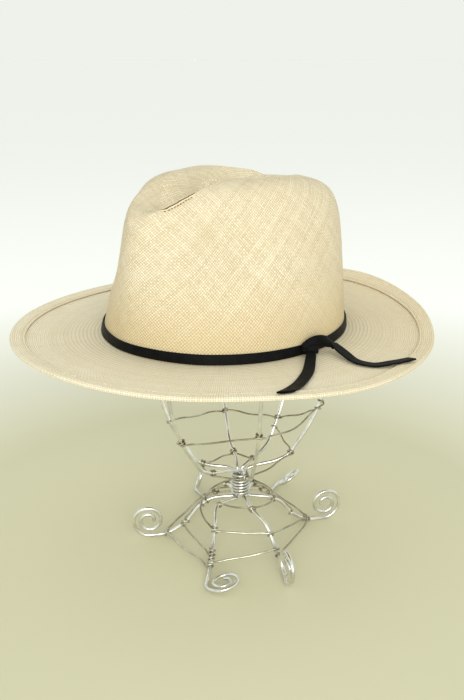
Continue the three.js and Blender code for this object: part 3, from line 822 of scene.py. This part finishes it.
def straw_rows():
    """Rows from the middle of the top, out to the brim's edge and back underneath.

    Each row is surface, share, offset along the normal and material slot for the faces after it.
    """
    hem = 1 - HEM_WIDTH / BRIM_WIDTH
    lip = 1 - (STRAW_THICKNESS + HEM_THICKNESS) / 2 / BRIM_WIDTH
    tuck = HEM_TUCK / BRIM_WIDTH
    under = -STRAW_THICKNESS

    def rows_on(surface, first, last, count, offset, slot):
        return [(surface, share, offset, slot) for share in np.linspace(first, last, count)]

    rows = []
    for first, last, count in OUTER_ROWS:
        rows += rows_on(crown_point, first, last, count, 0, CROWN_SLOT)
    rows += rows_on(brim_point, 0, hem - HEM_MARGIN, TOP_ROWS, 0, BRIM_SLOT)
    for place, height in HEM_FOLD:
        rows.append((brim_point, hem + place * tuck, height, HEM_SLOT if height else BRIM_SLOT))
    rows += rows_on(brim_point, hem + 0.5 * tuck, lip, HEM_ROWS, HEM_THICKNESS, HEM_SLOT)
    middle = (HEM_THICKNESS - STRAW_THICKNESS) / 2
    half = (HEM_THICKNESS + STRAW_THICKNESS) / 2
    for turn in np.radians(np.linspace(90, -90, EDGE_ROWS + 2)[1:-1]):
        share = lip + (1 - lip) * math.cos(turn)
        rows.append((brim_point, share, middle + half * math.sin(turn), HEM_SLOT))
    rows += rows_on(brim_point, lip, hem, UNDER_HEM_ROWS, under, HEM_SLOT)
    rows += rows_on(brim_point, hem - HEM_MARGIN, FOOT_MARGIN, UNDER_BRIM_ROWS, under, BRIM_SLOT)
    rows.append((None, 0, under, CROWN_SLOT))
    for first, last, count in INNER_ROWS:
        rows += rows_on(crown_point, first, last, count, under, CROWN_SLOT)
    return rows


def straw_ring(azimuth, surface, share, offset):
    """Round of points; with no surface, the inner corner where wall and brim meet."""
    if surface is None:
        return polar_point(
            azimuth, head_radius(azimuth) - STRAW_THICKNESS, foot_height(azimuth) - STRAW_THICKNESS
        )
    normal = normal_at(surface, azimuth, share)
    ring = surface(azimuth, share) + offset * normal
    if surface is crown_point:
        ring = ring + hand_waves(azimuth, ring[:, 2])[:, None] * normal
    return ring


def weave_counts(rings, slots):
    """Strands of the two lays at both ends of each row of faces.

    On the crown both lays cross it at equal angles, with strands let in as the round grows;
    on the brim one runs outwards and the other round.
    """
    count = len(rings)
    radius = np.hypot(rings[..., 0], rings[..., 1]).mean(axis=1)
    step = np.linalg.norm(np.diff(rings, axis=0), axis=-1).mean(axis=1)
    turn = np.arange(HAT_SEGMENTS + 1) / HAT_SEGMENTS
    lays = np.zeros((count, HAT_SEGMENTS + 1, 2, 2))
    for k in range(count - 1):
        on_brim = slots[k] != CROWN_SLOT
        if on_brim:
            strands = BRIM_STRANDS
        else:
            halvings = max(0, math.ceil(math.log2(FULL_WEAVE_RADIUS / max(radius[k + 1], 1))))
            strands = max(round(CROWN_STRANDS * 2.0 ** -halvings), FEWEST_STRANDS)
        pace = strands / (2 * math.pi * np.maximum(radius, 3))
        grown = np.append(0, np.cumsum((pace[1:] + pace[:-1]) / 2 * step))
        for end in (0, 1):
            rise = grown[k + end]
            lays[k, :, end, 0] = strands * turn + (0 if on_brim else rise)
            lays[k, :, end, 1] = rise if on_brim else strands * turn - rise
    return lays


def straw_body():
    rows = straw_rows()
    row_slots = [row[3] for row in rows]
    azimuth = -360 * np.arange(HAT_SEGMENTS) / HAT_SEGMENTS
    rings = np.array([straw_ring(azimuth, *row[:3]) for row in rows])
    count = len(rings)
    lays = weave_counts(rings, row_slots)
    places = np.zeros((count, HAT_SEGMENTS + 1, 2))
    places[..., 0] = np.arange(HAT_SEGMENTS + 1) / HAT_SEGMENTS
    out = np.hypot(rings[..., 0], rings[..., 1]) - head_radius(azimuth)
    places[..., 1] = np.concatenate((out, out[:, :1]), axis=1)

    def corners(here, there):
        """Values at each face's corners from those at both ends of its row."""
        values = np.stack((here[:, :-1], here[:, 1:], there[:, 1:], there[:, :-1]), 2)
        return values.reshape(-1, 2).tolist()

    points = rings.reshape(-1, 3)
    faces = quads(count, HAT_SEGMENTS, count - 1).tolist()
    weave = corners(lays[:-1, :, 0], lays[:-1, :, 1])
    place = corners(places[:-1], places[1:])
    slots = list(np.repeat(row_slots[:-1], HAT_SEGMENTS))
    i = np.arange(HAT_SEGMENTS)
    j = (i + 1) % HAT_SEGMENTS
    top = crown_point(0, 2)
    for centre, ring, way in ((top, 0, -1), (top - (0, 0, STRAW_THICKNESS), count - 1, 1)):
        points = np.concatenate((points, [centre]))
        for pair in np.stack((ring * HAT_SEGMENTS + i, ring * HAT_SEGMENTS + j), -1):
            faces.append([len(points) - 1, *pair[::way]])
        weave += [(0.5, 0.5)] * (3 * HAT_SEGMENTS)
        place += [(0, 0)] * (3 * HAT_SEGMENTS)
        slots += [CROWN_SLOT] * HAT_SEGMENTS
    materials = [crown_straw, brim_straw, hem_straw]
    maps = {"weave": weave, "place": place}
    piece = make_piece("straw_hat", points + (0, 0, BRIM_HEIGHT), faces, materials, maps, slots)
    dress(piece, "straw", "straw_body")


straw_body()


# Split along the near ridge's fold, its gap a dark strip of painted shade, and the hem's stitches

def ridge_line(start, end, count):
    """Fold on the left side of the crease, with its normals, between two places along the hat."""
    along = np.linspace(start, end, count)
    across = crease_half_gap(along)
    azimuth, wanted = np.degrees(np.arctan2(across, along)), np.hypot(along, across)

    def outside(share):
        return crown_radius(azimuth, *crown_section(share)) > wanted

    share = share_while(outside, np.ones(count), np.full(count, 1.95))
    return crown_point(azimuth, share) + (0, 0, BRIM_HEIGHT), normal_at(crown_point, azimuth, share)


def ridge_split():
    path, normals = ridge_line(*SPLIT_ALONG, SPLIT_POINTS)
    ways = unit(np.gradient(path, axis=0))
    sideways = np.cross(ways, normals)
    t = np.linspace(0, 1, len(path))
    taper = np.sqrt(np.clip(4 * t * (1 - t), 0, 1))
    wander = waves(t, SPLIT_WANDER)

    def beside(offset, lift):
        return path + sideways * (offset + wander)[:, None] + normals * lift

    def strip(offset, width, thickness):
        line = beside(offset, SPLIT_LIFT)
        return skin(strap_rings(line, normals, SPLIT_END_WIDTH + width * taper, thickness))

    # Painted shade: the slit is a dark strip laid on the straw where the split's gap lies in shade; the
    # dashed second line below it uses the same dark straw
    slit = strip(0, SPLIT_WIDTH, SPLIT_THICKNESS)
    lower = beside(SECOND_LINE, SECOND_LINE_LIFT)
    widths = np.full(DASH_POINTS, SECOND_LINE_WIDTH)
    parts = [slice(k, k + DASH_POINTS) for k in DASH_STARTS]
    dashes = [skin(strap_rings(lower[part], normals[part], widths, SPLIT_THICKNESS)) for part in parts]
    dress(make_piece("ridge_split", *joined([slit, *dashes]), split_shade_straw), "straw")
    lip = strip((SPLIT_WIDTH + LIP_WIDTH) / 2, LIP_WIDTH, LIP_THICKNESS)
    dress(make_piece("split_edge", *lip, lifted_straw), "straw")


ridge_split()


def hem_stitches():
    share = 1 - (HEM_WIDTH - STITCH_INSET) / BRIM_WIDTH
    stitches = []
    for k in range(STITCH_COUNT):
        azimuth = 360 * (k + STITCH_HALF_LENGTH * np.array((-1, 0, 1))) / STITCH_COUNT
        place = brim_point(azimuth, share) + normal_at(brim_point, azimuth, share) * HEM_THICKNESS
        stitches.append(tube(place + (0, 0, BRIM_HEIGHT), STITCH_RADIUS, STITCH_SIDES))
    dress(make_piece("hem_stitches", *joined(stitches), thread_straw), "straw")


hem_stitches()


# Leather band

def band():
    azimuth = np.linspace(0, 360, BAND_SEGMENTS, endpoint=False)
    angle = np.linspace(0, 2 * math.pi, BAND_SIDES, endpoint=False)
    up = squared(np.cos(angle), BAND_ROUNDING[0])
    out = squared(np.sin(angle), BAND_ROUNDING[1])
    sway = waves(np.radians(azimuth), BAND_SWAY)
    rings = []
    for u, o in zip(up, out):
        height = foot_height(azimuth) + BAND_LIFT + (1 + u) * BAND_WIDTH / 2 + np.abs(sway)
        wall = wall_point(azimuth, height)
        radius = np.hypot(wall[:, 0], wall[:, 1]) + GAP + STRAP_THICKNESS / 2 * (1 + o)
        rings.append(polar_point(azimuth, radius, height))
    rings = np.array(rings).transpose(1, 0, 2)
    faces = quads(BAND_SEGMENTS, BAND_SIDES, BAND_SEGMENTS)[:, ::-1]
    piece = make_piece("leather_band", rings.reshape(-1, 3) + (0, 0, BRIM_HEIGHT), faces, leather)
    dress(piece, "strap", "band")


band()


# Free ends of the strap

def tail_line(table):
    """Middle line, normals and widths of a free end."""
    order = np.arange(len(table))
    t = np.linspace(0, len(table) - 1, TAIL_POINTS)
    azimuth, share, lift, width = (curve_through(order, table[:, k])(t) for k in range(4))
    normals = normal_at(brim_point, azimuth, share)
    path = brim_point(azimuth, share) + (lift + STRAP_THICKNESS / 2)[:, None] * normals
    return path + (0, 0, BRIM_HEIGHT), normals, width * STRAP_WIDTH


def tail(name, node, table, cut):
    path, normals, widths = tail_line(table)
    points, faces = skin(strap_rings(path, normals, widths, STRAP_THICKNESS, TAIL_CURL, cut))
    piece = dress(make_piece(name, points, faces, leather), "strap", node)


tail("front_strap_end", "front_tail", FRONT_TAIL, FRONT_CUT)
tail("back_strap_end", "back_tail", BACK_TAIL, BACK_CUT)


# Knot: one strand over, one round the band, on a packed core

def knot_axes():
    """Knot's place on the band's face, and its own axes."""
    height = BAND_LIFT + STRAP_WIDTH / 2
    wall = wall_point(KNOT_AZIMUTH, height)
    radius = math.hypot(wall[0], wall[1]) + GAP + STRAP_THICKNESS
    angle = math.radians(KNOT_AZIMUTH)
    axes = np.array((
        (math.cos(angle), math.sin(angle), 0),
        (0, 0, 1),
        (math.sin(angle), -math.cos(angle), 0),
    ))
    return polar_point(KNOT_AZIMUTH, radius, height + BRIM_HEIGHT), axes


def knot_strand(table):
    origin, axes = knot_axes()
    run = lengths_along(table[:, :3])
    at = np.linspace(0, run[-1], STRAND_POINTS)
    facing = np.stack([curve_through(run, table[:, k])(at) for k in (3, 4, 5)], -1)
    widths = curve_through(run, table[:, 6])(at)
    path = smooth_path(table[:, :3], STRAND_POINTS)
    return skin(strap_rings(path @ axes + origin, facing @ axes, widths, STRAP_THICKNESS, KNOT_CURL))


def knot_core():
    origin, axes = knot_axes()
    angle = np.linspace(0, 2 * math.pi, CORE_SIDES, endpoint=False)
    rings = []
    for turn in np.linspace(-math.pi / 2, math.pi / 2, CORE_RINGS + 2)[1:-1]:
        girth = math.cos(turn) ** CORE_ROUNDING
        along = np.full(CORE_SIDES, squared(math.sin(turn), CORE_ROUNDING))
        up, out = (girth * squared(circle(angle), CORE_ROUNDING) for circle in (np.cos, np.sin))
        ring = np.stack((along, up, out), -1)
        rings.append((CORE_LOW + CORE_HIGH) / 2 + ring * (CORE_HIGH - CORE_LOW) / 2)
    return skin(np.array(rings) @ axes + origin)


def onto_tail(table):
    """Strand that runs on into the start of the back tail."""
    origin, axes = knot_axes()
    path, normals, _ = tail_line(BACK_TAIL)
    places, facing = (path[JOIN_POINTS] - origin) @ axes.T, normals[JOIN_POINTS] @ axes.T
    return np.concatenate((table, np.column_stack((places, facing, JOIN_WIDTHS))))


def knot():
    points, faces = joined([knot_strand(onto_tail(KNOT_OVER)), knot_strand(KNOT_UNDER), knot_core()])
    dress(make_piece("strap_knot", points, faces, leather), "strap", "knot")


knot()


# Wire stand

def stand_point(direction, out, up):
    angle = math.radians(direction)
    return np.array((STAND_AXIS[0] + out * math.cos(angle), STAND_AXIS[1] + out * math.sin(angle), up))


def reach_to_crown(direction, height):
    """Distance from the stand's axis at which a rib meets the crown's inside."""
    out, step = 40.0, 0.25
    clearance = STRAW_THICKNESS + RIB_RADIUS + 2 * GAP
    while True:
        x, y, _ = stand_point(direction, out, height)
        wall = wall_point(math.degrees(math.atan2(x, -y)), height - BRIM_HEIGHT)
        if math.hypot(x, y) + clearance > math.hypot(wall[0], wall[1]):
            return out
        out += step


def wire_path(rib, girth, slot, knee, leg, bend, reach, face, lie):
    """Lines of one wire's rib, leg and spiral foot, and the scale of its leg."""
    rib_points = [stand_point(rib, reach_to_crown(rib, TIP_HEIGHT), TIP_HEIGHT)]
    rib_points += [stand_point(rib, out * girth, up) for out, up in reversed(RIB_PROFILE)]
    rib_points.append(stand_point(slot, BUNDLE_RADIUS, WAIST_TOP))
    scale = reach / FOOT_REACH
    leg_points = [stand_point(slot, BUNDLE_RADIUS, WAIST_BOTTOM)]
    foot = stand_point(leg, reach, RIB_RADIUS)
    onward = unit(foot - stand_point(knee, KNEE_OUT * scale, RIB_RADIUS))
    sideways = np.array((-onward[1], onward[0], 0))
    for out, up in LEG_PROFILE:
        t = max(out - KNEE_OUT, 0) / (FOOT_REACH - KNEE_OUT)
        point = lerp(stand_point(knee, min(out, KNEE_OUT) * scale, 0), foot, t)
        point = point + sideways * bend * 4 * t * (1 - t)
        leg_points.append(np.array((point[0], point[1], up)))
    leg_points.append(foot)
    outward = stand_point(face, 1, 0) - stand_point(face, 0, 0)
    upward = np.array(Matrix.Rotation(-math.radians(lie), 3, Vector(outward)) @ Vector((0, 0, 1)))
    steps = int(SPIRAL_TURNS * TURN_POINTS["spiral"])
    spiral = []
    for k in range(1, steps + 1):
        angle = 2 * math.pi * SPIRAL_TURNS * k / steps
        radius = lerp(SPIRAL_RADIUS, SPIRAL_EYE, k / steps)
        raised = SPIRAL_RADIUS - radius * math.cos(angle)
        spiral.append(foot + outward * radius * math.sin(angle) + upward * raised)
    rib_line, leg_line = smooth_path(rib_points, RIB_POINTS), smooth_path(leg_points, LEG_POINTS)
    return rib_line, leg_line, np.array(spiral), scale


paths = {}
for name, *shape in WIRES:
    rib_line, leg_line, spiral, scale = wire_path(*shape)
    line = np.concatenate((rib_line, leg_line, spiral))
    line[:, 2] += max(0, RIB_RADIUS - line[:, 2].min())
    paths[name] = {"rib": rib_line, "leg": leg_line, "scale": scale}
    piece = make_piece(f"wire_{name}", *tube(line, RIB_RADIUS), rib_metal)
    dress(piece, "wire", f"stand_wire_{name}")


def waist_coil():
    out = BUNDLE_RADIUS + RIB_RADIUS + COIL_RADIUS + GAP
    margin = RIB_RADIUS + COIL_RADIUS + GAP
    low, high = WAIST_BOTTOM + margin, WAIST_TOP - margin
    shares = np.linspace(0, 1, COIL_TURNS * TURN_POINTS["coil"] + 1)
    line = [stand_point(360 * COIL_TURNS * t, out, lerp(low, high, t)) for t in shares]
    piece = make_piece("waist_binding", *tube(line, COIL_RADIUS), rib_metal)
    dress(piece, "wire", "waist_coil")


waist_coil()


def tie_on(line, measure, value):
    """Point of a line where its measure reaches a value, and the line's way there."""
    reached = measure(line)
    k = next(i for i in range(1, len(line)) if (reached[i - 1] - value) * (reached[i] - value) <= 0)
    t = (value - reached[k - 1]) / (reached[k] - reached[k - 1])
    return lerp(line[k - 1], line[k], t), unit(line[k] - line[k - 1])


def distance_out(line):
    return np.hypot(line[:, 0] - STAND_AXIS[0], line[:, 1] - STAND_AXIS[1])


def height_up(line):
    return line[:, 2]


def wrap(tie, towards, turns, pitch, path):
    """Winding along a wire's path that ends on its outer side, heading for the next rib."""
    point, way = tie
    if way[2] > 0:
        way = -way
    outward = point - np.array((*STAND_AXIS, point[2]))
    outward = unit(outward - way * np.dot(outward, way))
    tangent = np.cross(way, outward)
    tangent = tangent * (1 if np.dot(tangent, towards - point) > 0 else -1)
    angles = np.linspace(2 * math.pi * turns, 0, int(TURN_POINTS["tie"] * turns) + 2)
    lengths = lengths_along(path)
    tied_at = lengths[np.argmin(np.linalg.norm(path - point, axis=1))]
    downwards = 1 if path[-1][2] < path[0][2] else -1
    steps = tied_at + downwards * pitch * (TIE_DROP + angles / (2 * math.pi))
    middles = at_places(steps, lengths, path)
    ways = unit(at_places(steps, lengths, np.gradient(path, lengths, axis=0)))
    outs = unit(outward - ways * (ways @ outward)[:, None])
    sides = np.cross(outs, ways)
    sides *= np.sign(sides @ tangent)[:, None]
    turned = np.cos(angles)[:, None] * outs - np.sin(angles)[:, None] * sides
    return middles + (RIB_RADIUS + CROSS_RADIUS) * turned, tangent


def cross_wire(ring, one, tied, start, end, bow, sag=0, turns=TIE_TURNS, pitch=TIE_PITCH):
    """Wire wound round the two tied paths; turns and pitch are those of the far one."""
    first, leave = wrap(start, end[0], TIE_TURNS, TIE_PITCH, tied[0])
    last, arrive = wrap(end, start[0], turns, -pitch, tied[1])
    a, b = first[-1], last[-1]
    outward = (a + b) / 2 - np.array((*STAND_AXIS, 0))
    outward[2] = 0
    outward = unit(outward)
    t = np.linspace(0, 1, SPAN_GUIDES + 2)[1:-1]
    arch = 4 * t * (1 - t)
    span = np.linalg.norm(b - a)
    phase = len(ring) + 2.4 * len(one) + span
    wave = WIRE_WAVE[ring.split("_")[0]] * min(span / FULL_WAVE_SPAN, 1)
    wave = wave * np.sin(WAVE_PACE * t + phase) * np.minimum(arch * 1.5, 1)
    shift = np.outer(bow * arch + wave, outward)
    shift[:, 2] += wave * math.cos(phase) - sag * arch
    lead = span * TIE_LEAD
    between = lerp(a, b, t[:, None]) + shift
    guide = np.concatenate(([a, a + leave * lead], between, [b + arrive * lead, b]))
    line = np.concatenate((first[:-1], smooth_path(guide, SPAN_POINTS), last[::-1][1:]))
    line[:, 2] = np.maximum(line[:, 2], CROSS_RADIUS)
    # Painted light: the front spans take the paler copy of the tie wire
    metal = front_lit_metal if f"{ring}_{one}" in FRONT_LIT_SPANS else tie_metal
    piece = make_piece(f"{ring}_wire_{one}", *tube(line, CROSS_RADIUS, CROSS_SIDES), metal)
    dress(piece, "wire", f"{ring}_{one}")


def tie_on_leg(name, out):
    return tie_on(paths[name]["leg"], distance_out, out * paths[name]["scale"])


for index, (one, *_) in enumerate(WIRES):
    after = (index + 1) % len(WIRES)
    other = WIRES[after][0]
    for column, (ring, bow) in enumerate(LEG_RINGS):
        leaving, coming = LEG_TIES[index][2 * column + 1], LEG_TIES[after][2 * column]
        wound = ring == "base_lower" and other == WOUND_FOOT
        winding = (WINDING_TURNS, WINDING_PITCH) if wound else (TIE_TURNS, TIE_PITCH)
        legs = paths[one]["leg"], paths[other]["leg"]
        ties = tie_on_leg(one, leaving), tie_on_leg(other, coming)
        cross_wire(ring, one, legs, *ties, bow, 0, *winding)
    ribs = paths[one]["rib"], paths[other]["rib"]
    _, upper_out, sag, _, lower_out = RIB_TIES[index]
    upper_in, _, _, lower_in, _ = RIB_TIES[after]
    lower = tie_on(ribs[0], distance_out, lower_out), tie_on(ribs[1], distance_out, lower_in)
    upper = tie_on(ribs[0], height_up, upper_out), tie_on(ribs[1], height_up, upper_in)
    cross_wire("basket_lower", one, ribs, *lower, BASKET_LOWER_BOW)
    cross_wire("basket_upper", one, ribs, *upper, BASKET_UPPER_BOW, sag)


# Floor, light and camera

def floor():
    """Wide plain floor, paler at its middle with painted light that lifts the shade under the hat and
    stand, its tone rising to that of the backdrop far from the part.
    """
    s = Shader("pale_floor")
    far = s.add("ShaderNodeVectorMath", {0: s.place()}, operation="LENGTH")
    s.surfaced({
        "Base Color": s.ramp(far.outputs["Value"], FLOOR_TONES),
        "Roughness": 0.85,
        "Specular IOR Level": 0.1,
    })
    side, low = FLOOR_HALF_SIDE / MM, -FLOOR_SINK / MM
    corners = [(-side, -side, low), (side, -side, low), (side, side, low), (-side, side, low)]
    make_piece("floor", corners, [(0, 1, 2, 3)], s.material)


floor()

camera = bpy.data.cameras.new("photo_camera")
camera.sensor_fit = "AUTO"
camera.sensor_width = SENSOR
camera.lens = SENSOR * FOCAL_PIXELS / FRAME_HEIGHT
camera.clip_start = 0.01
camera_object = bpy.data.objects.new("photo_camera", camera)
camera_object.location = CAMERA_PLACE
camera_object.rotation_euler = (math.radians(90 - CAMERA_PITCH), 0, math.radians(CAMERA_AZIMUTH))
bpy.context.scene.collection.objects.link(camera_object)
bpy.context.scene.camera = camera_object


def area_light(name, place, target, size, power, colour=(1, 1, 1)):
    light = bpy.data.lights.new(name, "AREA")
    light.shape = "RECTANGLE"
    light.size, light.size_y = size
    light.energy = power
    light.color = colour
    holder = bpy.data.objects.new(name, light)
    holder.location = place
    holder.rotation_euler = (Vector(target) - Vector(place)).to_track_quat("-Z", "Y").to_euler()
    bpy.context.scene.collection.objects.link(holder)


area_light("key", (1.34, -1.1, 0.75), HAT_MIDDLE, (1.2, 0.9), 19.9, (1.0, 0.98, 0.94))
area_light("top", (-0.2, 0.1, 1.6), HAT_MIDDLE, (1.4, 1.4), 2.5)

world = bpy.data.worlds.new("studio")
world.use_nodes = True
background = world.node_tree.nodes["Background"]
background.inputs["Color"].default_value = BACKDROP
background.inputs["Strength"].default_value = 1.0
bpy.context.scene.world = world
bpy.context.scene.view_settings.view_transform = "Standard"
